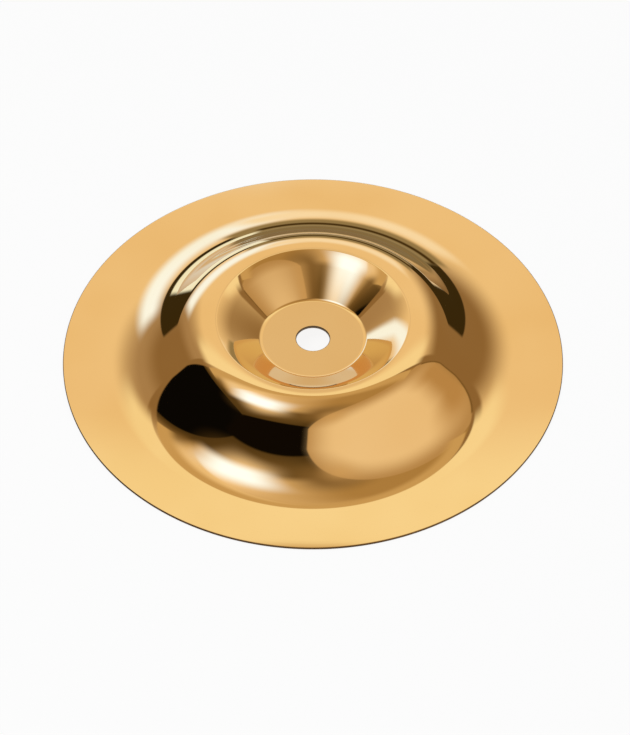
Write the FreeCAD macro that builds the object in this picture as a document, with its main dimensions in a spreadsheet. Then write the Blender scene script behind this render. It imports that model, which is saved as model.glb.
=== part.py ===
"""Effects cymbal: one disc of bell bronze, turned and mirror polished.

From the axis outwards the disc has a drilled hole, a flat crater floor, a sloped crater wall that
eases off into a brow, a narrow crest, a rounded shoulder, a straight flank, a foot of large radius and
a nearly flat rim with a turned edge. Millimetres, +Z up, origin on the axis in the plane that the
rim's edge rests on.
"""
import FreeCAD, Part
import math
import os
from dataclasses import dataclass
from enum import IntEnum

import Sketcher
from FreeCAD import Vector

NODE = "cymbal"

# Driving sizes: lengths in millimetres, angles in degrees.
SIZES = {
    # plan sizes, the crest's to its highest line
    "rim_diameter": 190.5,
    "hole_diameter": 12.7,
    "crest_diameter": 73.6,
    # heights of the polished face over the resting plane, and of the foot's hollow underside
    "floor_height": 8.5,
    "crest_height": 20.1,
    "foot_lift": 0.17,
    # slopes of the straight runs, and of the brow where the crest takes over
    "wall_angle": 35.9,
    "brow_angle": 29.3,
    "flank_angle": 40.9,
    # sheet, which tapers over the rim
    "bell_thickness": 1.2,
    "edge_thickness": 0.9,
    # bends, each by the radius of its hollow side
    "floor_bend": 3.2,
    "brow_bend": 50.5,
    "crest_bend": 0.3,
    "shoulder_bend": 20.6,
    "foot_bend": 35.0,
    # bevel that breaks the sharp edges of the drilled hole and of the rim
    "edge_break": 0.2,
}


class Point(IntEnum):
    """The sketcher's numbers for the points of an element."""
    START = 1
    END = 2
    CENTRE = 3


class Axis(IntEnum):
    """The sketcher's numbers for its own axes, which meet at the origin."""
    LEVEL = -1
    UPRIGHT = -2


START, END, CENTRE = Point
ORIGIN = (Axis.LEVEL, START)

# The hills run the other way round from the rest, so their inner end is their end point.
HILLS = ("brow", "crest", "shoulder")


@dataclass(frozen=True)
class Face:
    """One of the sheet's two faces.

    depth is how far it lies under the polished face, and depth_rule says so for the spreadsheet.
    rim_level is the height at which it meets the edge.
    """
    name: str
    depth: float
    depth_rule: str
    rim_level: float


def make_sheet(doc):
    """Write the driving sizes into a spreadsheet, one named cell each."""
    sheet = doc.addObject("Spreadsheet::Sheet", "Sizes")
    for row, (alias, value) in enumerate(SIZES.items(), start=1):
        sheet.set(f"A{row}", alias.replace("_", " "))
        sheet.set(f"B{row}", str(value))
        sheet.setAlias(f"B{row}", alias)
    doc.recompute()


def along(slope):
    """The outward direction of a face that climbs at a slope, in degrees."""
    return Vector(math.cos(math.radians(slope)), math.sin(math.radians(slope)), 0)


def upright(slope):
    """The upward normal of a face that climbs at a slope."""
    return Vector(-math.sin(math.radians(slope)), math.cos(math.radians(slope)), 0)


def turned_arc(centre, radius, first, last):
    """An arc that turns anticlockwise from one direction to another, in degrees."""
    circle = Part.Circle(centre, Vector(0, 0, 1), radius)
    return Part.ArcOfCircle(circle, math.radians(first), math.radians(last))


def hill(centre, radius, inner_slope, outer_slope):
    """A rounded top, whose slope falls on the way outwards. It ends at its inner end."""
    return turned_arc(centre, radius, 90 + outer_slope, 90 + inner_slope)


def valley(centre, radius, inner_slope, outer_slope):
    """A hollow, whose slope rises on the way outwards. It starts at its inner end."""
    return turned_arc(centre, radius, 270 + inner_slope, 270 + outer_slope)


def foot_centre():
    """The centre of the foot's bend, which touches the flank and hangs over the resting plane."""
    flank = upright(-SIZES["flank_angle"])
    shoulder_radius = SIZES["shoulder_bend"] + SIZES["bell_thickness"]
    shoulder = Vector(SIZES["crest_diameter"] / 2, SIZES["crest_height"] - shoulder_radius, 0)
    level = SIZES["foot_lift"] + SIZES["bell_thickness"] + SIZES["foot_bend"]
    over_flank = shoulder.dot(flank) + shoulder_radius + SIZES["foot_bend"]
    return Vector((over_flank - level * flank.y) / flank.x, level, 0)


def rim_slope(foot, foot_radius, corner):
    """The slope of a rim that runs from the foot's bend to a corner of the turned edge."""
    span = foot - corner
    return math.degrees(math.atan2(span.y, span.x) + math.asin(foot_radius / span.Length)) - 180


def lay_out(face):
    """The elements of a face, named, from the axis outwards."""
    wall, brow, flank = SIZES["wall_angle"], SIZES["brow_angle"], -SIZES["flank_angle"]
    over = SIZES["bell_thickness"] - face.depth
    brow_radius = SIZES["brow_bend"] + over
    crest_radius = SIZES["crest_bend"] + over
    shoulder_radius = SIZES["shoulder_bend"] + over
    floor_radius = SIZES["floor_bend"] + face.depth
    foot_radius = SIZES["foot_bend"] + face.depth

    top = Vector(SIZES["crest_diameter"] / 2, SIZES["crest_height"] - face.depth, 0)
    crest_centre = top - upright(0) * crest_radius
    shoulder_centre = top - upright(0) * shoulder_radius
    brow_centre = crest_centre - upright(brow) * (brow_radius - crest_radius)
    wall_top = brow_centre + upright(wall) * brow_radius
    floor_level = SIZES["floor_height"] - face.depth
    wall_foot_level = floor_level + floor_radius * (1 - along(wall).x)
    wall_foot = wall_top - along(wall) * ((wall_top.y - wall_foot_level) / along(wall).y)
    floor_centre = wall_foot + upright(wall) * floor_radius
    foot = foot_centre()
    corner = Vector(SIZES["rim_diameter"] / 2, face.rim_level, 0)
    rim = rim_slope(foot, foot_radius, corner)
    return {
        "floor": Part.LineSegment(Vector(0, floor_level, 0), floor_centre - upright(0) * floor_radius),
        "floor_bend": valley(floor_centre, floor_radius, 0, wall),
        "wall": Part.LineSegment(wall_foot, wall_top),
        "brow": hill(brow_centre, brow_radius, wall, brow),
        "crest": hill(crest_centre, crest_radius, brow, 0),
        "shoulder": hill(shoulder_centre, shoulder_radius, 0, flank),
        "flank": Part.LineSegment(shoulder_centre + upright(flank) * shoulder_radius,
                                  foot - upright(flank) * foot_radius),
        "foot": valley(foot, foot_radius, flank, rim),
        "rim": Part.LineSegment(foot - upright(rim) * foot_radius, corner),
    }


def inner_end(name):
    """The point of an element that lies nearer the axis along the face."""
    return END if name in HILLS else START


def outer_end(name):
    """The point of an element that lies nearer the rim along the face."""
    return START if name in HILLS else END


def drive(sketch, name, constraint, expression):
    """Add a named constraint whose value follows the spreadsheet."""
    index = sketch.addConstraint(constraint)
    sketch.renameConstraint(index, name)
    sketch.setExpression(f"Constraints.{name}", expression)


def chain(sketch, elements):
    """Add the elements to the sketch, each tangent to the one before, and return their numbers."""
    index = {name: sketch.addGeometry(shape, False) for name, shape in elements.items()}
    names = list(elements)
    for inner, outer in zip(names, names[1:]):
        sketch.addConstraint(Sketcher.Constraint(
            "Tangent", index[inner], outer_end(inner), index[outer], inner_end(outer)))
    return index


def set_bends(sketch, face, elements, index):
    """Tie the radii of a face's bends to the sizes."""
    over = f"Sizes.bell_thickness - {face.depth_rule}"
    radii = {
        "floor_bend": f"Sizes.floor_bend + {face.depth_rule}",
        "brow": f"Sizes.brow_bend + {over}",
        "crest": f"Sizes.crest_bend + {over}",
        "shoulder": f"Sizes.shoulder_bend + {over}",
        "foot": f"Sizes.foot_bend + {face.depth_rule}",
    }
    for name, expression in radii.items():
        drive(sketch, f"{face.name}_{name}_radius",
              Sketcher.Constraint("Radius", index[name], elements[name].Radius), expression)


def set_slopes(sketch, face, elements, index):
    """Tie the slopes of a face's wall, brow and flank to the sizes."""
    turn = math.radians(SIZES["wall_angle"] - SIZES["brow_angle"])
    drive(sketch, f"{face.name}_wall_slope",
          Sketcher.Constraint("Angle", index["wall"], math.radians(SIZES["wall_angle"])),
          "Sizes.wall_angle")
    drive(sketch, f"{face.name}_brow_turn",
          Sketcher.Constraint("Angle", index["brow"], turn),
          "Sizes.wall_angle - Sizes.brow_angle")
    drive(sketch, f"{face.name}_flank_slope",
          Sketcher.Constraint("Angle", index["flank"], -math.radians(SIZES["flank_angle"])),
          "-Sizes.flank_angle")


def set_levels(sketch, face, elements, index):
    """Tie the floor, the crest and the foot of a face to the sizes."""
    floor, crest = elements["floor"].StartPoint, elements["crest"].StartPoint
    sketch.addConstraint(Sketcher.Constraint("Horizontal", index["floor"]))
    sketch.addConstraint(Sketcher.Constraint("PointOnObject", index["floor"], START, Axis.UPRIGHT))
    drive(sketch, f"{face.name}_floor_level",
          Sketcher.Constraint("DistanceY", *ORIGIN, index["floor"], START, floor.y),
          f"Sizes.floor_height - {face.depth_rule}")
    drive(sketch, f"{face.name}_crest_place",
          Sketcher.Constraint("DistanceX", *ORIGIN, index["crest"], START, crest.x),
          "Sizes.crest_diameter / 2")
    drive(sketch, f"{face.name}_crest_level",
          Sketcher.Constraint("DistanceY", *ORIGIN, index["crest"], START, crest.y),
          f"Sizes.crest_height - {face.depth_rule}")
    drive(sketch, f"{face.name}_foot_level",
          Sketcher.Constraint("DistanceY", *ORIGIN, index["foot"], CENTRE, elements["foot"].Center.y),
          "Sizes.foot_lift + Sizes.bell_thickness + Sizes.foot_bend")
    # the crest's top is level, so it lies straight over the shoulder's centre
    sketch.addConstraint(Sketcher.Constraint(
        "Vertical", index["shoulder"], CENTRE, index["shoulder"], END))


def draw_face(sketch, face):
    """Add one face to the sketch, tied to the sizes, and return its elements and their numbers."""
    elements = lay_out(face)
    index = chain(sketch, elements)
    set_bends(sketch, face, elements, index)
    set_slopes(sketch, face, elements, index)
    set_levels(sketch, face, elements, index)
    return elements, index


def draw_section(sketch):
    """Draw the disc's half section: polished face, underside, edge and axis."""
    top_elements, top = draw_face(
        sketch, Face("top", 0, "0", SIZES["edge_thickness"]))
    under_elements, under = draw_face(
        sketch, Face("under", SIZES["bell_thickness"], "Sizes.bell_thickness", 0))

    lower_corner = under_elements["rim"].EndPoint
    edge = sketch.addGeometry(Part.LineSegment(lower_corner, top_elements["rim"].EndPoint), False)
    sketch.addConstraint(Sketcher.Constraint("Coincident", edge, START, under["rim"], END))
    sketch.addConstraint(Sketcher.Constraint("Coincident", edge, END, top["rim"], END))
    sketch.addConstraint(Sketcher.Constraint("Vertical", edge))
    sketch.addConstraint(Sketcher.Constraint("PointOnObject", edge, START, Axis.LEVEL))
    drive(sketch, "edge_height", Sketcher.Constraint("Distance", edge, SIZES["edge_thickness"]),
          "Sizes.edge_thickness")
    drive(sketch, "edge_place",
          Sketcher.Constraint("DistanceX", *ORIGIN, edge, START, lower_corner.x),
          "Sizes.rim_diameter / 2")

    axis = sketch.addGeometry(Part.LineSegment(
        under_elements["floor"].StartPoint, top_elements["floor"].StartPoint), False)
    sketch.addConstraint(Sketcher.Constraint("Coincident", axis, START, under["floor"], START))
    sketch.addConstraint(Sketcher.Constraint("Coincident", axis, END, top["floor"], START))


def new_sketch(body, name, plane):
    """Attach an empty sketch to one of the body's own origin planes."""
    sketch = body.newObject("Sketcher::SketchObject", name)
    support = next(item for item in body.Origin.OriginFeatures if item.Role == plane)
    sketch.AttachmentSupport = [(support, "")]
    sketch.MapMode = "FlatFace"
    return sketch


def turn_disc(body):
    """Turn the closed section about the axis."""
    section = new_sketch(body, "Section", "XZ_Plane")
    draw_section(section)
    disc = body.newObject("PartDesign::Revolution", "TurnedDisc")
    disc.Profile = section
    disc.ReferenceAxis = (section, ["V_Axis"])
    disc.Angle = 360
    return disc


def drill_hole(body):
    """Drill the mounting hole through the crater floor."""
    outline = new_sketch(body, "HoleOutline", "XY_Plane")
    ring = Part.Circle(Vector(), Vector(0, 0, 1), SIZES["hole_diameter"] / 2)
    circle = outline.addGeometry(ring, False)
    outline.addConstraint(Sketcher.Constraint("Coincident", circle, CENTRE, *ORIGIN))
    drive(outline, "hole_size", Sketcher.Constraint("Diameter", circle, SIZES["hole_diameter"]),
          "Sizes.hole_diameter")
    hole = body.newObject("PartDesign::Pocket", "MountingHole")
    hole.Profile = outline
    hole.SideType = "Symmetric"
    hole.Type = "ThroughAll"
    return hole


def break_sharp_edges(body, hole):
    """Bevel the two edges of the hole and the two of the rim."""
    diameters = (SIZES["hole_diameter"], SIZES["rim_diameter"])
    sharp = [f"Edge{number}" for number, edge in enumerate(hole.Shape.Edges, start=1)
             if isinstance(edge.Curve, Part.Circle)
             and any(math.isclose(2 * edge.Curve.Radius, diameter) for diameter in diameters)]
    bevel = body.newObject("PartDesign::Chamfer", "EdgeBreak")
    bevel.Base = (hole, sharp)
    bevel.setExpression("Size", "Sizes.edge_break")


def make_cymbal(doc):
    """The one piece: a turned, drilled and deburred disc."""
    body = doc.addObject("PartDesign::Body", "Cymbal")
    body.Label = NODE
    disc = turn_disc(body)
    doc.recompute()
    hole = drill_hole(body)
    doc.recompute()
    if not hole.Shape.Volume < disc.Shape.Volume:
        raise RuntimeError("the mounting hole cut nothing")
    break_sharp_edges(body, hole)
    doc.recompute()
    return body


def check(doc, pieces):
    """Stop unless every object is sound, every sketch is fixed and every piece is one solid."""
    for item in doc.Objects:
        if {"Invalid", "Error"} & set(item.State):
            raise RuntimeError(f"{item.Name} failed: {item.State}")
        if item.TypeId == "Sketcher::SketchObject" and not item.FullyConstrained:
            raise RuntimeError(f"{item.Name} is not fully constrained")
    for piece in pieces:
        if piece.Shape.isNull() or not piece.Shape.isValid() or len(piece.Shape.Solids) != 1:
            raise RuntimeError(f"{piece.Label} is not one valid solid")


def main():
    doc = FreeCAD.newDocument("EffectsCymbal")
    make_sheet(doc)
    pieces = [make_cymbal(doc)]
    check(doc, pieces)
    os.makedirs("parts", exist_ok=True)
    for piece in pieces:
        piece.Shape.exportStep(f"parts/{piece.Label}.step")
        box = piece.Shape.optimalBoundingBox()
        print(f"{piece.Label}: {box.XLength:.2f} x {box.YLength:.2f} x {box.ZLength:.2f} mm, "
              f"lowest {box.ZMin:.3f} mm, volume {piece.Shape.Volume:.0f} cubic mm")


main()
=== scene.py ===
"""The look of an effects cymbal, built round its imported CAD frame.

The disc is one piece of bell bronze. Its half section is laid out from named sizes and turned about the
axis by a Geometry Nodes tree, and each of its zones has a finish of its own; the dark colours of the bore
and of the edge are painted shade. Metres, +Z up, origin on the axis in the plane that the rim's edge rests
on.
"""
import logging
import math
from dataclasses import dataclass, field
from enum import Enum, IntEnum

import bpy
from bpy.types import Material, Mesh, Node, NodeSocket, NodeTree, Object, World
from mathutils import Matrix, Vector


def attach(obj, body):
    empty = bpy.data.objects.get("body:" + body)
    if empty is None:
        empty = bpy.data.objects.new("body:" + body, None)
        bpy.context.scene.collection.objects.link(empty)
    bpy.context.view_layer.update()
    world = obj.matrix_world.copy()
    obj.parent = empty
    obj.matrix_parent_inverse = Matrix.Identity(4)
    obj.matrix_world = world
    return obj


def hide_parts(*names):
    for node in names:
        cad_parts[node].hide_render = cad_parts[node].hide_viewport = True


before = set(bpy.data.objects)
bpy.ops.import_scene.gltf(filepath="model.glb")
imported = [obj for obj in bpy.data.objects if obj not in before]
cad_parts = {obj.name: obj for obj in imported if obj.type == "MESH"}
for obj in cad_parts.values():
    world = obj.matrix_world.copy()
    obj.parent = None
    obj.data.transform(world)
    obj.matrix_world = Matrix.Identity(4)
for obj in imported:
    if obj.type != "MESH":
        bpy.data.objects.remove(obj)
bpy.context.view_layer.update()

LOG = logging.getLogger("cymbal")
ZONE_MARK = "zone"
WHITE = (1.0, 1.0, 1.0, 1.0)

# The photograph's frame, in pixels, which the render uses too.
FRAME_WIDTH, FRAME_HEIGHT = 630, 735


class Zone(IntEnum):
    """The zones of the disc's section, in the order in which its loop runs through them."""

    BORE = 0
    POLISHED = 1
    EDGE = 2
    UNDERSIDE = 3

    @property
    def finish_input(self) -> str:
        """The name of the turning tree's input for this zone's finish."""
        return f"{self.name.title()} Finish"


class PanelShape(Enum):
    """The outline of a panel of the light tent."""

    CARD = "card"
    SPOT = "spot"


class Canvas:
    """A node tree that is being laid out, for shaders and for geometry alike."""

    COLUMN, ROWS = 180.0, 4

    def __init__(self, tree: NodeTree) -> None:
        """Start on the tree that gets the nodes."""
        self.tree = tree
        self.placed = 0

    def add(self, kind: str, inputs: dict[int | str, object] | None = None, **settings: object) -> Node:
        """Add a node, set its options and feed its inputs.

        Args:
            kind: The node's type.
            inputs: What each input gets, by its number or name: a socket to link or a plain value.
            **settings: The node's own options.

        Returns:
            The new node.
        """
        node = self.tree.nodes.new(kind)
        node.location = (self.COLUMN * (self.placed // self.ROWS), -self.COLUMN * (self.placed % self.ROWS))
        self.placed += 1
        for name, value in settings.items():
            setattr(node, name, value)
        for key, value in (inputs or {}).items():
            self.feed(node, key, value)
        return node

    def feed(self, node: Node, key: int | str, value: object) -> None:
        """Link a socket to a node's input, or set the input's plain value.

        Args:
            node: The node that is fed.
            key: The input's number or name.
            value: A socket or a plain value.
        """
        if isinstance(value, NodeSocket):
            self.tree.links.new(value, node.inputs[key])
        else:
            node.inputs[key].default_value = value

    def math(self, operation: str, *values: object) -> NodeSocket:
        """One step of arithmetic on numbers, each a socket or a plain value."""
        return self.add("ShaderNodeMath", dict(enumerate(values)), operation=operation).outputs[0]

    def vector(self, operation: str, *values: object, output: int = 0) -> NodeSocket:
        """One step of arithmetic on vectors; output 1 is the number that some steps give."""
        node = self.add("ShaderNodeVectorMath", dict(enumerate(values)), operation=operation)
        return node.outputs[output]

    def split(self, vector: NodeSocket) -> tuple[NodeSocket, NodeSocket, NodeSocket]:
        """The sockets of a vector's X, Y and Z."""
        node = self.add("ShaderNodeSeparateXYZ", {0: vector})
        return node.outputs[0], node.outputs[1], node.outputs[2]

    def join(self, x: object, y: object, z: object) -> NodeSocket:
        """A vector from three numbers or their sockets."""
        return self.add("ShaderNodeCombineXYZ", {0: x, 1: y, 2: z}).outputs[0]

    def product(self, first: object, *others: object) -> NodeSocket:
        """Some numbers multiplied together, from the left.

        Args:
            first: The first number or its socket.
            *others: The numbers that it is multiplied by, or their sockets.

        Returns:
            The result's socket.
        """
        for other in others:
            first = self.math("MULTIPLY", first, other)
        return first

    def ramp(self, value: object, low: object, high: object, start: object = 0.0,
             end: object = 1.0) -> NodeSocket:
        """A number that goes smoothly from start to end as the value goes from low to high."""
        limits = {"Value": value, "From Min": low, "From Max": high, "To Min": start, "To Max": end}
        return self.add("ShaderNodeMapRange", limits, interpolation_type="SMOOTHSTEP").outputs[0]

    def blend(self, factor: object, first: object, second: object) -> NodeSocket:
        """A colour between two colours, with no limit at white.

        Args:
            factor: How much of the second colour shows, from 0 to 1.
            first: The first colour or its socket.
            second: The second colour or its socket.

        Returns:
            The result's socket.
        """
        node = self.add("ShaderNodeMix", data_type="RGBA", blend_type="MIX", clamp_result=False)
        for name, value in (("Factor_Float", factor), ("A_Color", first), ("B_Color", second)):
            socket = next(item for item in node.inputs if item.identifier == name)
            if isinstance(value, NodeSocket):
                self.tree.links.new(value, socket)
            else:
                socket.default_value = value
        return next(item for item in node.outputs if item.identifier == "Result_Color")

    def noise(self, vector: NodeSocket, scale: object, detail: float, seed: object) -> NodeSocket:
        """Soft random values round 0.5, so many for each unit of the vector, by a seed."""
        pattern = {"Vector": vector, "W": seed, "Scale": scale, "Detail": detail}
        return self.add("ShaderNodeTexNoise", pattern, noise_dimensions="4D").outputs[0]

    def seen_plainly(self) -> NodeSocket:
        """Whether the camera, a reflection or clear glass sees the surface, rather than soft light.

        Returns:
            The mask's socket.
        """
        path = self.add("ShaderNodeLightPath").outputs
        indirect = self.math("MAXIMUM", path["Is Glossy Ray"], path["Is Transmission Ray"])
        return self.math("MAXIMUM", path["Is Camera Ray"], indirect)


class Group:
    """A shader node group with named inputs and one output, built once and placed in many materials."""

    def __init__(self, name: str, inputs: dict[str, float | None], output: str) -> None:
        """Make the empty group.

        Args:
            name: The group's name.
            inputs: Each input's name and plain value, or None for a vector.
            output: The name of what it gives, a number that changes over the surface.
        """
        self.tree = bpy.data.node_groups.new(name, "ShaderNodeTree")
        for title, value in inputs.items():
            kind = "NodeSocketVector" if value is None else "NodeSocketFloat"
            socket = self.tree.interface.new_socket(title, in_out="INPUT", socket_type=kind)
            if value is not None:
                socket.default_value = value
        self.tree.interface.new_socket(output, in_out="OUTPUT", socket_type="NodeSocketFloat")
        self.canvas = Canvas(self.tree)
        self.inputs = self.canvas.add("NodeGroupInput").outputs

    def give(self, result: NodeSocket) -> None:
        """Send the result to the group's output."""
        self.canvas.add("NodeGroupOutput", {0: result})

    def place(self, canvas: Canvas, values: dict[str, object]) -> NodeSocket:
        """Put the group into a material, with values for its inputs, and give its output there."""
        return canvas.add("ShaderNodeGroup", values, node_tree=self.tree).outputs[0]


def placed(name: str, data: object) -> Object:
    """Make an object and put it in the scene.

    Args:
        name: Its name.
        data: Its mesh, lamp or camera.

    Returns:
        The object.
    """
    made = bpy.data.objects.new(name, data)
    bpy.context.scene.collection.objects.link(made)
    return made


def cleared(owner: Material | World) -> Canvas:
    """Switch a material or world to nodes and clear them.

    Args:
        owner: The material or world.

    Returns:
        The canvas of its empty tree.
    """
    owner.use_nodes = True
    owner.node_tree.nodes.clear()
    return Canvas(owner.node_tree)


def radius_and_angle(canvas: Canvas, place: NodeSocket) -> tuple[NodeSocket, NodeSocket]:
    """How far from the disc's axis a point lies, and in which direction.

    Args:
        canvas: The tree that gets the nodes.
        place: The point's own coordinates.

    Returns:
        The radius in metres and the angle in radians.
    """
    x, y, _ = canvas.split(place)
    radius = canvas.vector("LENGTH", canvas.join(x, y, 0.0), output=1)
    return radius, canvas.math("ARCTAN2", y, x)


class SurfaceEffects:
    """The effects that every finish of the disc shares, each a node group."""

    TURNING_SEED, DRIFT_SEED, HAIRLINE_SEED, HANDLING_SEED, TONE_SEED = 11.0, 3.0, 5.0, 7.0, 2.0
    DRIFT_SCALE = 30.0

    # the noise values between which a mask goes from 0 to 1, lower for haze that covers more
    HAIRLINE_LIMITS, TONE_LIMITS = (0.6, 0.78), (0.3, 0.7)
    HAZE_START, HAZE_DROP, HAZE_WIDTH = 0.75, 0.4, 0.2

    def __init__(self) -> None:
        """Build the four groups."""
        self.turning = self.build_turning()
        self.hairlines = self.build_hairlines()
        self.handling = self.build_handling()
        self.tone = self.build_tone()

    def build_turning(self) -> Group:
        """Rings that the lathe tool left, as a height.

        Returns:
            The group.
        """
        group = Group("turning rings", {
            "Place": None, "Rings per Metre": 900.0, "Unevenness": 0.4}, "Height")
        canvas = group.canvas
        radius, _ = radius_and_angle(canvas, group.inputs["Place"])
        rings = canvas.product(radius, group.inputs["Rings per Metre"])
        drift = canvas.noise(group.inputs["Place"], self.DRIFT_SCALE, 1.0, self.DRIFT_SEED)
        shift = canvas.product(drift, group.inputs["Unevenness"])
        across = canvas.join(canvas.math("ADD", rings, shift), 0.0, 0.0)
        group.give(canvas.noise(across, 1.0, 2.0, self.TURNING_SEED))
        return group

    def build_hairlines(self) -> Group:
        """Short hairlines that follow the turning, from polishing and wiping, as a mask.

        Returns:
            The group.
        """
        group = Group("hairlines", {
            "Place": None, "Fineness": 2600.0, "Stretch": 0.05, "Amount": 0.5}, "Mask")
        canvas = group.canvas
        radius, angle = radius_and_angle(canvas, group.inputs["Place"])
        across = canvas.product(radius, group.inputs["Fineness"])
        length = canvas.product(canvas.math("SINE", angle), across, group.inputs["Stretch"])
        depth = canvas.product(canvas.math("COSINE", angle), across, group.inputs["Stretch"])
        lines = canvas.noise(canvas.join(across, length, depth), 1.0, 1.0, self.HAIRLINE_SEED)
        sharp = canvas.ramp(lines, *self.HAIRLINE_LIMITS)
        group.give(canvas.product(sharp, group.inputs["Amount"]))
        return group

    def build_handling(self) -> Group:
        """The haze of wiping and touching, as a mask.

        Returns:
            The group.
        """
        group = Group("handling haze", {"Place": None, "Scale": 40.0, "Cover": 0.5}, "Mask")
        canvas = group.canvas
        broad = canvas.noise(group.inputs["Place"], group.inputs["Scale"], 3.0, self.HANDLING_SEED)
        drop = canvas.product(group.inputs["Cover"], self.HAZE_DROP)
        low = canvas.math("SUBTRACT", self.HAZE_START, drop)
        group.give(canvas.ramp(broad, low, canvas.math("ADD", low, self.HAZE_WIDTH)))
        return group

    def build_tone(self) -> Group:
        """A slow drift of the bronze's tone, as a mask from 0 to 1.

        Returns:
            The group.
        """
        group = Group("tone drift", {"Place": None, "Scale": 22.0}, "Mask")
        canvas = group.canvas
        slow = canvas.noise(group.inputs["Place"], group.inputs["Scale"], 2.0, self.TONE_SEED)
        group.give(canvas.ramp(slow, *self.TONE_LIMITS))
        return group


@dataclass(frozen=True)
class BronzeFinish:
    """One finish of the bell bronze.

    Attributes:
        name: The material's name.
        light: The bronze's colour where its tone is lightest, linear.
        deep: Its colour where the tone is deepest.
        gloss: The roughness of the clean surface.
        haze: What handling adds to the roughness.
        scratch: What a hairline adds to the roughness.
        rings: How many turning rings there are in a metre.
        ring_depth: The depth of the rings, in metres.
        cover: How much of the surface is hazed, from 0 to 1.
    """

    name: str
    light: tuple[float, float, float]
    deep: tuple[float, float, float]
    gloss: float
    haze: float
    scratch: float
    rings: float
    ring_depth: float
    cover: float

    def make(self, effects: SurfaceEffects) -> Material:
        """Build the material.

        Args:
            effects: The shared effects.

        Returns:
            The material.
        """
        material = bpy.data.materials.new(self.name)
        canvas = cleared(material)
        place = canvas.add("ShaderNodeTexCoord").outputs["Object"]
        tone = effects.tone.place(canvas, {"Place": place})
        haze = effects.handling.place(canvas, {"Place": place, "Cover": self.cover})
        scratch = effects.hairlines.place(canvas, {"Place": place})
        rings = effects.turning.place(canvas, {"Place": place, "Rings per Metre": self.rings})

        hazed, scratched = canvas.product(haze, self.haze), canvas.product(scratch, self.scratch)
        rough = canvas.math("ADD", canvas.math("ADD", hazed, scratched), self.gloss)
        bump = canvas.add("ShaderNodeBump", {"Height": rings, "Strength": 1.0, "Distance": self.ring_depth})
        surface = canvas.add("ShaderNodeBsdfPrincipled", {
            "Base Color": canvas.blend(tone, (*self.deep, 1.0), (*self.light, 1.0)),
            "Metallic": 1.0,
            "Roughness": rough,
            "Normal": bump.outputs[0],
        })
        canvas.add("ShaderNodeOutputMaterial", {"Surface": surface.outputs[0]})
        return material


@dataclass(frozen=True)
class Sampling:
    """How finely the section is divided.

    Attributes:
        turn: The most that a bend turns from one row to the next, in degrees.
        step: The longest step along a straight run.
        guard: The short step beside a bend, which keeps the straight run's shading straight.
    """

    turn: float
    step: float = 0.0022
    guard: float = 0.0004

    def line(self, start: Vector, end: Vector) -> list[Vector]:
        """The points of a straight run, both ends included.

        Args:
            start: Its first point.
            end: Its last point.

        Returns:
            The points, in order.
        """
        length = (end - start).length
        inner = length - 2 * self.guard
        count = max(1, math.ceil(inner / self.step))
        places = [0.0] + [self.guard + inner * number / count for number in range(count + 1)] + [length]
        return [start.lerp(end, place / length) for place in places]

    def arc(self, centre: Vector, radius: float, first: float, last: float) -> list[Vector]:
        """The points of a bend, both ends included.

        Args:
            centre: The bend's centre.
            radius: Its radius.
            first: The direction from the centre to its first point, in degrees.
            last: The direction to its last point.

        Returns:
            The points, in order.
        """
        count = max(2, math.ceil(abs(last - first) / self.turn))
        angles = [math.radians(first + (last - first) * number / count) for number in range(count + 1)]
        return [centre + Vector((math.cos(angle), math.sin(angle))) * radius for angle in angles]


def joined(runs: list[list[Vector]]) -> list[Vector]:
    """The points of several runs in a row, with each shared end kept once."""
    return runs[0] + [point for run in runs[1:] for point in run[1:]]


def along(slope: float) -> Vector:
    """The outward direction of a face that climbs at a slope, in degrees."""
    return Vector((math.cos(math.radians(slope)), math.sin(math.radians(slope))))


def upright(slope: float) -> Vector:
    """The upward normal of a face that climbs at a slope, in degrees."""
    return Vector((-math.sin(math.radians(slope)), math.cos(math.radians(slope))))


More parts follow.
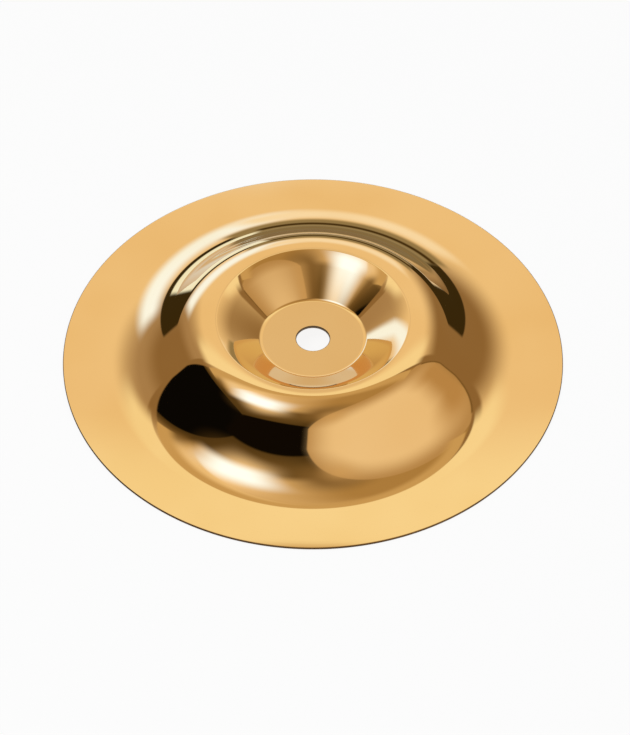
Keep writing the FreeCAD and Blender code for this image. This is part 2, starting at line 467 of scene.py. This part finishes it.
@dataclass
class CymbalDisc:
    """The whole cymbal: one disc with a bore, a crater, a crest, a shoulder, a flank, a foot and a rim.

    Attributes:
        rim_radius: From the axis to the turned edge.
        hole_radius: The bore's radius.
        crest_place: From the axis to the crest's highest line.
        floor_height: The crater floor over the resting plane.
        crest_height: The crest over the resting plane.
        foot_lift: The foot's hollow underside over the resting plane.
        wall_angle: The slope of the crater's wall, in degrees.
        brow_angle: The brow's slope where the crest takes over.
        flank_angle: The slope of the flank.
        bell_thickness: The sheet's thickness over the bell.
        edge_thickness: Its thickness at the edge.
        floor_bend: The bend between floor and wall, by the radius of its hollow side, as the next ones.
        brow_bend: The slow bend between the wall and the crest.
        crest_bend: The tight bend along the crest.
        shoulder_bend: The bend between the crest and the flank.
        foot_bend: The bend between flank and rim.
        edge_round: The radius that breaks the edges of bore and rim.
        segments: How many times the section is set round the axis.
        ripple_height: How deep the rim's slow waves are, which the rolled sheet keeps.
        ripple_length: How far apart they are.
        ripple_seed: Which pattern they make.
        ripple_fade: From where to where they die out, as shares of the rim's radius.
        corner_turn: The most that an edge's round turns from one row to the next, in degrees.
        corner_clear: How near a row may come to an edge, in radii of its round.
        weld: The distance within which the grid's two ends are one.
        fine: How finely the polished face is divided.
        coarse: How finely the underside is.
    """

    rim_radius: float = 0.09525
    hole_radius: float = 0.00635
    crest_place: float = 0.0368
    floor_height: float = 0.0085
    crest_height: float = 0.0201
    foot_lift: float = 0.00017
    wall_angle: float = 35.9
    brow_angle: float = 29.3
    flank_angle: float = 40.9
    bell_thickness: float = 0.0012
    edge_thickness: float = 0.0009
    floor_bend: float = 0.0032
    brow_bend: float = 0.0505
    crest_bend: float = 0.0003
    shoulder_bend: float = 0.0206
    foot_bend: float = 0.035
    edge_round: float = 0.00025
    segments: int = 360
    ripple_height: float = 0.000006
    ripple_length: float = 0.022
    ripple_seed: float = 4.0
    ripple_fade: tuple[float, float] = (0.93, 0.99)
    corner_turn: float = 18.0
    corner_clear: float = 1.5
    weld: float = 0.000002
    fine: Sampling = field(default_factory=lambda: Sampling(turn=1.0))
    coarse: Sampling = field(default_factory=lambda: Sampling(turn=4.0, step=0.004))

    def face(self, depth: float, rim_level: float, sampling: Sampling) -> list[Vector]:
        """One of the sheet's two faces, from the bore outwards.

        Args:
            depth: How far it lies under the polished face over the bell.
            rim_level: The height at which it meets the edge.
            sampling: How finely it is divided.

        Returns:
            Its points.
        """
        wall, brow, flank = self.wall_angle, self.brow_angle, -self.flank_angle
        over = self.bell_thickness - depth
        brow_radius, crest_radius = self.brow_bend + over, self.crest_bend + over
        shoulder_radius = self.shoulder_bend + over
        floor_radius, foot_radius = self.floor_bend + depth, self.foot_bend + depth

        top = Vector((self.crest_place, self.crest_height - depth))
        crest_centre = top - upright(0) * crest_radius
        shoulder_centre = top - upright(0) * shoulder_radius
        brow_centre = crest_centre - upright(brow) * (brow_radius - crest_radius)
        wall_top = brow_centre + upright(wall) * brow_radius
        floor_level = self.floor_height - depth
        wall_foot_level = floor_level + floor_radius * (1 - along(wall).x)
        wall_foot = wall_top - along(wall) * ((wall_top.y - wall_foot_level) / along(wall).y)
        floor_centre = wall_foot + upright(wall) * floor_radius
        foot = self.foot_centre()
        corner = Vector((self.rim_radius, rim_level))
        rim = self.rim_slope(foot, foot_radius, corner)

        floor_start = Vector((self.hole_radius, floor_level))
        return joined([
            sampling.line(floor_start, floor_centre - upright(0) * floor_radius),
            sampling.arc(floor_centre, floor_radius, 270, 270 + wall),
            sampling.line(wall_foot, wall_top),
            sampling.arc(brow_centre, brow_radius, 90 + wall, 90 + brow),
            sampling.arc(crest_centre, crest_radius, 90 + brow, 90),
            sampling.arc(shoulder_centre, shoulder_radius, 90, 90 + flank),
            sampling.line(shoulder_centre + upright(flank) * shoulder_radius,
                          foot - upright(flank) * foot_radius),
            sampling.arc(foot, foot_radius, 270 + flank, 270 + rim),
            sampling.line(foot - upright(rim) * foot_radius, corner),
        ])

    def foot_centre(self) -> Vector:
        """Where the foot's bend, which touches the flank and hangs over the resting plane, is centred.

        Returns:
            The bend's centre.
        """
        flank = upright(-self.flank_angle)
        shoulder_radius = self.shoulder_bend + self.bell_thickness
        shoulder = Vector((self.crest_place, self.crest_height - shoulder_radius))
        level = self.foot_lift + self.bell_thickness + self.foot_bend
        over_flank = shoulder.dot(flank) + shoulder_radius + self.foot_bend
        return Vector(((over_flank - level * flank.y) / flank.x, level))

    @staticmethod
    def rim_slope(foot: Vector, foot_radius: float, corner: Vector) -> float:
        """The slope in degrees of a rim that runs from the foot's bend to a corner."""
        span = foot - corner
        return math.degrees(math.atan2(span.y, span.x) + math.asin(foot_radius / span.length)) - 180

    def rounded(self, before: Vector, corner: Vector, after: Vector) -> list[Vector]:
        """The arc that rounds a corner between two straight sides.

        Args:
            before: A point on the side that leads to the corner.
            corner: The corner.
            after: A point on the side that leads away.

        Returns:
            The arc's points.
        """
        to_corner, from_corner = (corner - before).normalized(), (after - corner).normalized()
        turn = to_corner.angle_signed(from_corner)
        start = corner - to_corner * self.edge_round * abs(math.tan(turn / 2))
        side = Vector((to_corner.y, -to_corner.x)) * math.copysign(1.0, turn)
        centre = start + side * self.edge_round
        first = math.degrees(math.atan2(start.y - centre.y, start.x - centre.x))
        return Sampling(self.corner_turn).arc(centre, self.edge_round, first, first - math.degrees(turn))

    def section(self) -> tuple[list[Vector], list[int]]:
        """The closed loop of the section, clockwise from the bore's lower edge.

        Returns:
            The points, and the number of the first row of each zone.
        """
        top = self.face(0.0, self.edge_thickness, self.fine)
        under = self.face(self.bell_thickness, 0.0, self.coarse)[::-1]
        bore_low = self.rounded(under[-2], under[-1], top[0])
        bore_high = self.rounded(under[-1], top[0], top[1] + Vector((self.edge_round, 0.0)))
        rim_high = self.rounded(top[-3], top[-1], under[0])
        rim_low = self.rounded(top[-1], under[0], under[2])
        clear = self.corner_clear * self.edge_round
        inner, outer = self.hole_radius + clear, self.rim_radius - clear
        top_run, under_run = ([point for point in run if inner < point.x < outer] for run in (top, under))
        half = len(bore_low) // 2
        bore_middle = Vector((self.hole_radius, self.floor_height - self.bell_thickness / 2))
        bore = bore_low[half:] + [bore_middle] + bore_high
        edge = rim_high + [Vector((self.rim_radius, self.edge_thickness / 2))] + rim_low
        rim_start = len(bore) + len(top_run)
        firsts = [0, len(bore) - 1, rim_start, rim_start + len(edge) - 1]
        return bore + top_run + edge + under_run + bore_low[:half], firsts

    def turning_tree(self) -> NodeTree:
        """The tree that turns the section about the axis into a closed disc.

        Returns:
            The tree.
        """
        tree = bpy.data.node_groups.new("turned_disc", "GeometryNodeTree")
        tree.is_modifier = True
        sockets = {
            "Geometry": ("Section",),
            "Int": ("Segments", "Rows", "Polished Row", "Edge Row", "Underside Row"),
            "Float": ("Rim Radius", "Ripple Height", "Ripple Length", "Ripple Seed", "Weld Distance"),
            "Material": [zone.finish_input for zone in Zone],
        }
        for kind, names in sockets.items():
            for name in names:
                tree.interface.new_socket(name, in_out="INPUT", socket_type=f"NodeSocket{kind}")
        tree.interface.new_socket("Disc", in_out="OUTPUT", socket_type="NodeSocketGeometry")
        canvas = Canvas(tree)
        given = canvas.add("NodeGroupInput").outputs

        # a flat grid, one column for each segment and one row for each point of the section
        grid = canvas.add("GeometryNodeMeshGrid", {
            "Size X": given["Segments"], "Size Y": given["Rows"],
            "Vertices X": canvas.math("ADD", given["Segments"], 1),
            "Vertices Y": canvas.math("ADD", given["Rows"], 1)})
        flat_x, flat_y, _ = canvas.split(canvas.add("GeometryNodeInputPosition").outputs[0])
        column = canvas.math("ADD", flat_x, canvas.math("DIVIDE", given["Segments"], 2))
        row = canvas.math("ADD", flat_y, canvas.math("DIVIDE", given["Rows"], 2))

        # the zone of each face, by the rows that it lies between
        zone = canvas.math("GREATER_THAN", row, given["Polished Row"])
        for name in ("Edge Row", "Underside Row"):
            zone = canvas.math("ADD", zone, canvas.math("GREATER_THAN", row, given[name]))
        zoned = canvas.add("GeometryNodeStoreNamedAttribute", {
            "Geometry": grid.outputs[0], "Name": ZONE_MARK, "Value": zone}, data_type="INT", domain="FACE")

        # each row takes its place from the section, the last one from the first again
        point = canvas.math("FLOORED_MODULO", canvas.math("ROUND", row), given["Rows"])
        place = canvas.add("GeometryNodeSampleIndex", {
            "Geometry": given["Section"], "Index": point}, data_type="FLOAT_VECTOR", domain="POINT")
        canvas.feed(place, "Value", canvas.add("GeometryNodeInputPosition").outputs[0])
        radius, _, height = canvas.split(place.outputs[0])
        turn = canvas.product(canvas.math("DIVIDE", column, given["Segments"]), -math.tau)
        x = canvas.product(radius, canvas.math("COSINE", turn))
        y = canvas.product(radius, canvas.math("SINE", turn))

        # slow waves, the same on both faces, that die out before the edge
        pitch = canvas.math("DIVIDE", 1.0, given["Ripple Length"])
        wave = canvas.noise(canvas.join(x, y, 0.0), pitch, 1.0, given["Ripple Seed"])
        calm_from, calm_at = (canvas.product(given["Rim Radius"], share) for share in self.ripple_fade)
        fade = canvas.ramp(radius, calm_from, calm_at, 1.0, 0.0)
        height = canvas.math("SUBTRACT", height, canvas.product(wave, fade, given["Ripple Height"]))
        moved = canvas.add("GeometryNodeSetPosition", {
            "Geometry": zoned.outputs[0], "Position": canvas.join(x, y, height)})

        welded = canvas.add("GeometryNodeMergeByDistance",
                            {"Geometry": moved.outputs[0], "Distance": given["Weld Distance"]})
        smooth = canvas.add("GeometryNodeSetShadeSmooth", {"Geometry": welded.outputs[0]})
        geometry = canvas.add("GeometryNodeRealizeInstances", {"Geometry": smooth.outputs[0]}).outputs[0]
        mark = canvas.add("GeometryNodeInputNamedAttribute", {"Name": ZONE_MARK}, data_type="INT")
        geometry = canvas.add("GeometryNodeSetMaterial", {
            "Geometry": geometry, "Material": given[Zone.POLISHED.finish_input]}).outputs[0]
        for kind in (Zone.BORE, Zone.EDGE, Zone.UNDERSIDE):
            chosen = canvas.add("FunctionNodeCompare", data_type="INT", operation="EQUAL")
            integers = [socket for socket in chosen.inputs if socket.type == "INT"]
            tree.links.new(mark.outputs[0], integers[0])
            integers[1].default_value = int(kind)
            geometry = canvas.add("GeometryNodeSetMaterial", {
                "Geometry": geometry, "Selection": chosen.outputs[0],
                "Material": given[kind.finish_input]}).outputs[0]
        canvas.add("NodeGroupOutput", {"Disc": geometry})
        return tree

    def build(self, finishes: dict[Zone, Material]) -> Object:
        """Turn the disc and make it a plain mesh.

        Args:
            finishes: The material of each zone.

        Returns:
            The finished piece.
        """
        loop, firsts = self.section()
        section = bpy.data.meshes.new("disc_section")
        section.from_pydata([(point.x, 0.0, point.y) for point in loop], [], [])
        source = placed("disc_source", section)
        values: dict[str, object] = {
            "Segments": self.segments,
            "Rows": len(loop),
            "Polished Row": firsts[Zone.POLISHED],
            "Edge Row": firsts[Zone.EDGE],
            "Underside Row": firsts[Zone.UNDERSIDE],
            "Rim Radius": self.rim_radius,
            "Ripple Height": self.ripple_height,
            "Ripple Length": self.ripple_length,
            "Ripple Seed": self.ripple_seed,
            "Weld Distance": self.weld,
        }
        values |= {zone.finish_input: finishes[zone] for zone in Zone}
        mesh = plain_mesh(source, self.turning_tree(), values, "polished_disc")
        disc = placed("polished_disc", mesh)
        bpy.data.objects.remove(source)
        return disc


def plain_mesh(source: Object, tree: NodeTree, values: dict[str, object], name: str) -> Mesh:
    """Run a geometry tree on an object and keep the result as a plain mesh.

    Args:
        source: The object that the tree starts from.
        tree: The tree.
        values: Each named input's value.
        name: The mesh's name.

    Returns:
        The mesh.
    """
    modifier = source.modifiers.new("tree", "NODES")
    modifier.node_group = tree
    for item in tree.interface.items_tree:
        if item.in_out == "INPUT" and item.name in values:
            modifier[item.identifier] = values[item.name]
    graph = bpy.context.evaluated_depsgraph_get()
    mesh = bpy.data.meshes.new_from_object(source.evaluated_get(graph), depsgraph=graph)
    mesh.name = name
    source.modifiers.remove(modifier)
    for index in reversed(range(len(mesh.materials))):
        if mesh.materials[index] is None:
            mesh.materials.pop(index=index)
    if ZONE_MARK in mesh.attributes:
        mesh.attributes.remove(mesh.attributes[ZONE_MARK])
    return mesh


@dataclass(frozen=True)
class Panel:
    """A soft-edged panel of the light tent.

    The tent is unrolled from above, with the zenith in the middle, the horizon at a radius of 1.414,
    X to the right and Y away from the camera.

    Attributes:
        name: What it is.
        shape: Its outline.
        centre: Where its middle lies on the unrolled tent.
        half: Half its width and half its height there.
        turn: How far it is turned, in degrees.
        soft: How wide its soft edge is, at its sides and its top.
        hem: How wide its soft lower edge is.
        bow: How far it bows, because the unrolling bends straight edges.
        light: The light that it gives, linear, where 1 is white.
        first_only: Whether only first reflections show it, as a thin line breaks up in deeper ones.
    """

    name: str
    shape: PanelShape
    centre: tuple[float, float]
    half: tuple[float, float]
    turn: float
    soft: float
    hem: float
    bow: float
    light: tuple[float, float, float]
    first_only: bool = False

    def mask(self, canvas: Canvas, unrolled: NodeSocket, outline: Group) -> NodeSocket:
        """Where the panel shows.

        Args:
            canvas: The tent's canvas.
            unrolled: The place on the unrolled tent.
            outline: The group that draws a panel's outline.

        Returns:
            The mask's socket.
        """
        return outline.place(canvas, {
            "Unrolled": unrolled, "Centre X": self.centre[0], "Centre Y": self.centre[1],
            "Half Width": self.half[0], "Half Height": self.half[1], "Turn": math.radians(self.turn),
            "Soft": self.soft, "Hem": self.hem, "Bow": self.bow,
            "Round": float(self.shape is PanelShape.SPOT)})


@dataclass(frozen=True)
class Band:
    """A ring of the tent from some radius outwards, such as what lies under the horizon.

    Attributes:
        name: What it is.
        radius: Where it starts on the unrolled tent.
        soft: How wide its soft edge is.
        light: The light that it gives.
        first_only: Whether only first reflections show it.
    """

    name: str
    radius: float
    soft: float
    light: tuple[float, float, float]
    first_only: bool = False

    def mask(self, canvas: Canvas, unrolled: NodeSocket, _outline: Group) -> NodeSocket:
        """Where the ring shows, which takes no outline."""
        reach = canvas.vector("LENGTH", unrolled, output=1)
        return canvas.ramp(reach, self.radius - self.soft / 2, self.radius + self.soft / 2)


CARD, SPOT = PanelShape.CARD, PanelShape.SPOT

LIGHTS: tuple[Panel | Band, ...] = (
    Panel("booth", CARD, (-0.24, -0.20), (0.50, 0.62), 6, 0.020, 0.020, 0.00, (0.07, 0.05, 0.02)),
    Panel("front glow", SPOT, (-0.20, -0.35), (0.42, 0.26), -8, 0.331, 0.330, -0.02, (0.15, 0.11, 0.05)),
    Panel("left shade", CARD, (-0.62, 0.12), (0.10, 0.18), 6, 0.130, 0.138, 0.00, (0.19, 0.13, 0.05)),
    Panel("low flag", CARD, (-0.51, -1.00), (0.80, 0.39), -17, 0.040, 0.040, 0.00, (0.005, 0.004, 0.003)),
    Panel("ceiling", CARD, (-0.05, 0.07), (0.54, 0.38), -16, 0.114, 0.145, -0.05, (0.67, 0.57, 0.41)),
    Panel("ceiling right", SPOT, (0.37, 0.09), (0.41, 0.31), 40, 0.264, 0.250, 0.00, (0.43, 0.32, 0.16)),
    Panel("ceiling low", SPOT, (0.12, -0.36), (0.19, 0.23), -2, 0.259, 0.250, 0.00, (0.22, 0.16, 0.08)),
    Panel("side card", CARD, (0.77, -0.69), (0.95, 0.71), 59, 0.020, 0.020, 0.24, (0.50, 0.39, 0.25)),
    Panel("side card middle", CARD, (0.81, -0.75), (0.94, 0.64), 53, 0.351, 0.350, 0.27, (0.88, 0.84, 0.77)),
    Panel("side card glow", SPOT, (0.17, -0.43), (0.05, 0.08), -2, 0.289, 0.300, 0.00, (0.66, 0.54, 0.37)),
    Panel("side card right", SPOT, (1.09, 0.14), (0.28, 0.21), 18, 0.316, 0.310, 0.00, (0.51, 0.38, 0.22)),
    Panel("softbox cloth", CARD, (-0.37, -0.10), (0.15, 0.30), -3, 0.277, 0.311, -0.01, (0.99, 0.96, 0.93)),
    Panel("softbox lamp", CARD, (-0.37, -0.12), (0.17, 0.15), -28, 0.240, 0.160, -0.06, (1.13, 1.78, 3.62)),
    Panel("backdrop", CARD, (0.00, 1.26), (1.40, 1.025), 1, 0.020, 0.020, -0.02, (0.28, 0.20, 0.11)),
    Panel("backdrop left", CARD, (-0.85, 0.67), (0.15, 0.36), 6, 0.238, 0.020, 0.00, (0.41, 0.33, 0.24)),
    Panel("backdrop middle", CARD, (-0.06, 0.93), (0.68, 0.68), 14, 0.393, 0.040, 0.18, (0.89, 0.83, 0.69)),
    Panel("backdrop foot", CARD, (0.00, 0.40), (0.68, 0.11), 0, 0.172, 0.020, 0.01, (0.98, 1.03, 0.93)),
    Panel("backdrop dim", SPOT, (0.00, 0.63), (0.15, 0.19), -1, 0.095, 0.100, 0.00, (0.79, 0.74, 0.64)),
    Panel("ceiling edge", CARD, (-0.04, 0.27), (0.66, 0.06), 0, 0.020, 0.110, 0.22, (0.61, 0.50, 0.31)),
    Panel("card rail", CARD, (0.97, 0.27), (0.22, 0.007), 3, 0.020, 0.020, -0.02, (0.16, 0.11, 0.04)),
    Panel("strip light left", CARD, (-0.50, 1.07), (0.41, 0.10), 21, 0.161, 0.133, 0.35, (1.02, 1.47, 2.60)),
    Panel("strip light right", CARD, (0.12, 1.14), (0.34, 0.08), -8, 0.120, 0.120, 0.42, (0.99, 1.10, 1.30)),
    Panel("low front card", CARD, (-0.10, -1.22), (1.00, 0.17), 0, 0.12, 0.12, -0.37, (0.85, 0.82, 0.76)),
    Band("gap", 1.355, 0.018, (0.04, 0.03, 0.01), True),
    Panel("gap middle", CARD, (0.13, 1.38), (0.47, 0.12), -6, 0.060, 0.080, 0.38, (0.31, 0.29, 0.20)),
    Panel("gap line", CARD, (0.19, 1.38), (0.42, 0.03), -8, 0.040, 0.040, 0.38, (0.06, 0.04, 0.01), True),
    Band("table", 1.52, 0.016, (0.75, 0.73, 0.65)),
    Panel("table left", CARD, (-0.61, 1.44), (0.32, 0.15), 23, 0.060, 0.020, 0.33, (0.94, 1.19, 1.39)),
    Band("shade under the table", 1.66, 0.10, (0.10, 0.09, 0.08)),
    Band("card under the table", 1.78, 0.10, (0.85, 0.84, 0.82)),
    Band("middle under the table", 1.93, 0.08, (0.30, 0.29, 0.27)),
)


@dataclass
class Studio:
    """The plain set: pale floor, light tent, lamps, world and camera.

    Attributes:
        floor_half: Half the floor's side.
        floor_matt: The floor's colour under its white.
        floor_white: How much of the floor is plain white to the camera, so that its shadow stays soft.
        tent_radius: The tent's radius, measured from the middle of the rim.
        tent_rings: How many segments and rings the tent's ball has.
        tent_dark: The tent's own light between its panels.
        tent_again: What second and deeper reflections leave of the tent's light.
        room_light: How strongly the white room lights the disc and the floor.
        lamps: Each lamp's name, place, side and power in watts.
        camera_distance: From the middle of the rim to the camera.
        camera_elevation: The camera's height over the rim's plane, in degrees.
        focal_pixels: The focal length, in pixels of the photograph.
        aim_pixel: Where the middle of the rim lies in the photograph.
        rim_level: The height of the rim's middle over the floor.
        sensor: The width of the camera's sensor, in millimetres.
        clip: The nearest and farthest things that the camera sees.
    """

    # a ray of a smaller Glossy Depth has met one mirror, and the guard keeps the tent's lowest point finite
    FIRST_REFLECTION, NADIR_GUARD = 1.5, 0.001

    floor_half: float = 6.0
    floor_matt: tuple[float, float, float] = (0.9, 0.9, 0.9)
    floor_white: float = 0.88
    tent_radius: float = 0.277
    tent_rings: tuple[int, int] = (128, 64)
    tent_dark: tuple[float, float, float] = (0.003, 0.003, 0.003)
    tent_again: tuple[float, float, float] = (0.78, 0.94, 1.15)
    room_light: float = 0.5
    lamps: tuple[tuple[str, tuple[float, float, float], float, float], ...] = (
        ("key_softbox", (-0.7, -0.5, 1.4), 0.9, 9.0),
        ("fill_softbox", (1.1, 0.4, 1.2), 1.1, 4.0),
    )
    camera_distance: float = 1.0115
    camera_elevation: float = 47.41
    focal_pixels: float = 2650.3
    aim_pixel: tuple[float, float] = (312.93, 351.89)
    rim_level: float = 0.0009
    sensor: float = 36.0
    clip: tuple[float, float] = (0.01, 50.0)

    def build(self) -> None:
        """Build the whole set."""
        self.build_floor()
        self.build_tent()
        self.build_lamps()
        self.build_world()
        self.build_camera()

    def build_floor(self) -> None:
        """A pale floor that is white to the camera and keeps a soft shadow; reflections don't see it."""
        mesh = bpy.data.meshes.new("floor")
        half = self.floor_half
        corners = [(-half, -half, 0), (half, -half, 0), (half, half, 0), (-half, half, 0)]
        mesh.from_pydata(corners, [], [(0, 1, 2, 3)])
        floor = placed("floor", mesh)
        material = bpy.data.materials.new("floor_white")
        canvas = cleared(material)
        whiteness = canvas.product(canvas.seen_plainly(), self.floor_white)
        matt = canvas.add("ShaderNodeBsdfDiffuse", {"Color": (*self.floor_matt, 1.0)})
        glow = canvas.add("ShaderNodeEmission", {"Color": WHITE, "Strength": 1.0})
        upper = canvas.add("ShaderNodeMixShader", {0: whiteness, 1: matt.outputs[0], 2: glow.outputs[0]})
        clear = canvas.add("ShaderNodeBsdfTransparent")
        below = canvas.add("ShaderNodeNewGeometry").outputs["Backfacing"]
        both = canvas.add("ShaderNodeMixShader", {0: below, 1: upper.outputs[0], 2: clear.outputs[0]})
        canvas.add("ShaderNodeOutputMaterial", {"Surface": both.outputs[0]})
        mesh.materials.append(material)
        floor.visible_glossy = False

    def panel_outline(self) -> Group:
        """The mask of one panel, for any place, size, turn and edge.

        Returns:
            The group.
        """
        group = Group("panel mask", {
            "Unrolled": None, "Centre X": 0.0, "Centre Y": 0.0, "Half Width": 1.0, "Half Height": 1.0,
            "Turn": 0.0, "Soft": 0.1, "Hem": 0.1, "Bow": 0.0, "Round": 0.0}, "Mask")
        canvas, given = group.canvas, group.inputs
        wide, high = given["Half Width"], given["Half Height"]

        # the place in the panel's own directions, with the bow taken out
        x, y, _ = canvas.split(given["Unrolled"])
        x = canvas.math("SUBTRACT", x, given["Centre X"])
        y = canvas.math("SUBTRACT", y, given["Centre Y"])
        cosine, sine = canvas.math("COSINE", given["Turn"]), canvas.math("SINE", given["Turn"])
        across = canvas.math("ADD", canvas.product(x, cosine), canvas.product(y, sine))
        upward = canvas.math("SUBTRACT", canvas.product(y, cosine), canvas.product(x, sine))
        upward = canvas.math("ADD", upward, canvas.product(across, across, given["Bow"]))

        # a card, with its two sides, its top and its hem
        edge, hem = canvas.product(given["Soft"], 0.5), canvas.product(given["Hem"], 0.5)
        low_edge, low_hem = canvas.product(edge, -1.0), canvas.product(hem, -1.0)
        beside = canvas.math("SUBTRACT", wide, canvas.math("ABSOLUTE", across))
        card = canvas.product(canvas.ramp(beside, low_edge, edge),
                              canvas.ramp(canvas.math("SUBTRACT", high, upward), low_edge, edge),
                              canvas.ramp(canvas.math("ADD", high, upward), low_hem, hem))

        # a spot, which is round
        ratio = canvas.join(canvas.math("DIVIDE", across, wide), canvas.math("DIVIDE", upward, high), 0.0)
        inside = canvas.math("SUBTRACT", 1.0, canvas.vector("LENGTH", ratio, output=1))
        inside = canvas.product(inside, canvas.math("MINIMUM", wide, high))
        spot = canvas.product(canvas.ramp(inside, low_edge, edge), given["Round"])
        card = canvas.product(card, canvas.math("SUBTRACT", 1.0, given["Round"]))
        group.give(canvas.math("ADD", card, spot))
        return group

    def build_tent(self) -> None:
        """A round light tent with soft panels, which only reflections see."""
        segments, rings = self.tent_rings
        bpy.ops.mesh.primitive_uv_sphere_add(segments=segments, ring_count=rings, radius=self.tent_radius,
                                             location=(0, 0, self.rim_level))
        tent = bpy.context.object
        tent.name = "light_tent"
        material = bpy.data.materials.new("tent_cloth")
        canvas = cleared(material)
        place = canvas.add("ShaderNodeTexCoord").outputs["Object"]
        x, y, z = canvas.split(canvas.vector("NORMALIZE", place))
        lift = canvas.math("ADD", z, 1.0 + self.NADIR_GUARD)
        spread = canvas.math("SQRT", canvas.math("DIVIDE", 2.0, lift))
        unrolled = canvas.join(canvas.product(x, spread), canvas.product(y, spread), 0.0)
        outline = self.panel_outline()
        depth = canvas.add("ShaderNodeLightPath").outputs["Glossy Depth"]
        first = canvas.math("LESS_THAN", depth, self.FIRST_REFLECTION)
        light: object = (*self.tent_dark, 1.0)
        for card in LIGHTS:
            mask = card.mask(canvas, unrolled, outline)
            mask.node.label = card.name
            if card.first_only:
                mask = canvas.product(mask, first)
            light = canvas.blend(mask, light, (*card.light, 1.0))
        again = canvas.vector("MULTIPLY", light, self.tent_again)
        light = canvas.blend(first, again, light)
        glow = canvas.add("ShaderNodeEmission", {"Color": light, "Strength": 1.0})
        canvas.add("ShaderNodeOutputMaterial", {"Surface": glow.outputs[0]})
        tent.data.materials.append(material)
        for ray in ("camera", "diffuse", "shadow", "transmission", "volume_scatter"):
            setattr(tent, f"visible_{ray}", False)

    def build_lamps(self) -> None:
        """Two broad soft lamps over the table, which reflections don't show."""
        for name, place, side, power in self.lamps:
            lamp = bpy.data.lights.new(name, "AREA")
            lamp.size, lamp.energy = side, power
            made = placed(name, lamp)
            made.location = place
            made.rotation_euler = (-Vector(place)).to_track_quat("-Z", "Y").to_euler()
            made.visible_glossy = False
            made.visible_camera = False

    def build_world(self) -> None:
        """Plain white all round, at strength 1 to the eye and weaker as a light."""
        world = bpy.data.worlds.new("white_room")
        canvas = cleared(world)
        brighter = canvas.product(canvas.seen_plainly(), 1.0 - self.room_light)
        strength = canvas.math("ADD", self.room_light, brighter)
        glow = canvas.add("ShaderNodeBackground", {"Color": WHITE, "Strength": strength})
        canvas.add("ShaderNodeOutputWorld", {"Surface": glow.outputs[0]})
        bpy.context.scene.world = world

    def build_camera(self) -> None:
        """The camera at the photograph's angle and distance."""
        camera = bpy.data.cameras.new("camera")
        camera.sensor_width = self.sensor
        camera.lens = self.focal_pixels / FRAME_HEIGHT * self.sensor
        camera.shift_x = (FRAME_WIDTH / 2 - self.aim_pixel[0]) / FRAME_HEIGHT
        camera.shift_y = -(FRAME_HEIGHT / 2 - self.aim_pixel[1]) / FRAME_HEIGHT
        camera.clip_start, camera.clip_end = self.clip
        made = placed("camera", camera)
        tilt = math.radians(self.camera_elevation)
        middle = Vector((0.0, 0.0, self.rim_level))
        away = Vector((0.0, -math.cos(tilt), math.sin(tilt)))
        made.location = middle + away * self.camera_distance
        made.rotation_euler = (-away).to_track_quat("-Z", "Y").to_euler()
        bpy.context.scene.camera = made


FINISHES = {
    Zone.POLISHED: BronzeFinish(
        "mirror_bronze", light=(0.96, 0.62, 0.27), deep=(0.93, 0.58, 0.235),
        gloss=0.03, haze=0.03, scratch=0.05, rings=900.0, ring_depth=0.0000004, cover=0.3),
    Zone.UNDERSIDE: BronzeFinish(
        "turned_bronze", light=(0.93, 0.60, 0.26), deep=(0.88, 0.54, 0.215),
        gloss=0.10, haze=0.06, scratch=0.08, rings=1400.0, ring_depth=0.0000015, cover=0.5),
    # the edge's dark colour is painted shade; its rough turned finish is its own
    Zone.EDGE: BronzeFinish(
        "raw_edge_painted_shade", light=(0.24, 0.14, 0.06), deep=(0.16, 0.09, 0.04),
        gloss=0.34, haze=0.10, scratch=0.10, rings=2600.0, ring_depth=0.000004, cover=0.6),
    # the bore's dark colour is painted shade inside the hole; its rough turned finish is its own
    Zone.BORE: BronzeFinish(
        "bore_painted_shade", light=(0.22, 0.15, 0.09), deep=(0.15, 0.10, 0.06),
        gloss=0.36, haze=0.10, scratch=0.10, rings=2600.0, ring_depth=0.000004, cover=0.6),
}


def main() -> None:
    """Build the disc and its set."""
    logging.basicConfig(level=logging.INFO, format="%(name)s: %(message)s")
    bpy.context.scene.view_settings.view_transform = "Standard"
    Studio().build()
    effects = SurfaceEffects()
    disc = CymbalDisc().build({zone: finish.make(effects) for zone, finish in FINISHES.items()})
    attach(disc, "root")
    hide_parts("cymbal")
    counts = [0] * len(disc.data.materials)
    for face in disc.data.polygons:
        counts[face.material_index] += 1
    dressed = {item.name: count for item, count in zip(disc.data.materials, counts)}
    LOG.info("%s: %d faces, %s", disc.name, len(disc.data.polygons), dressed)


if __name__ == "__main__":
    main()
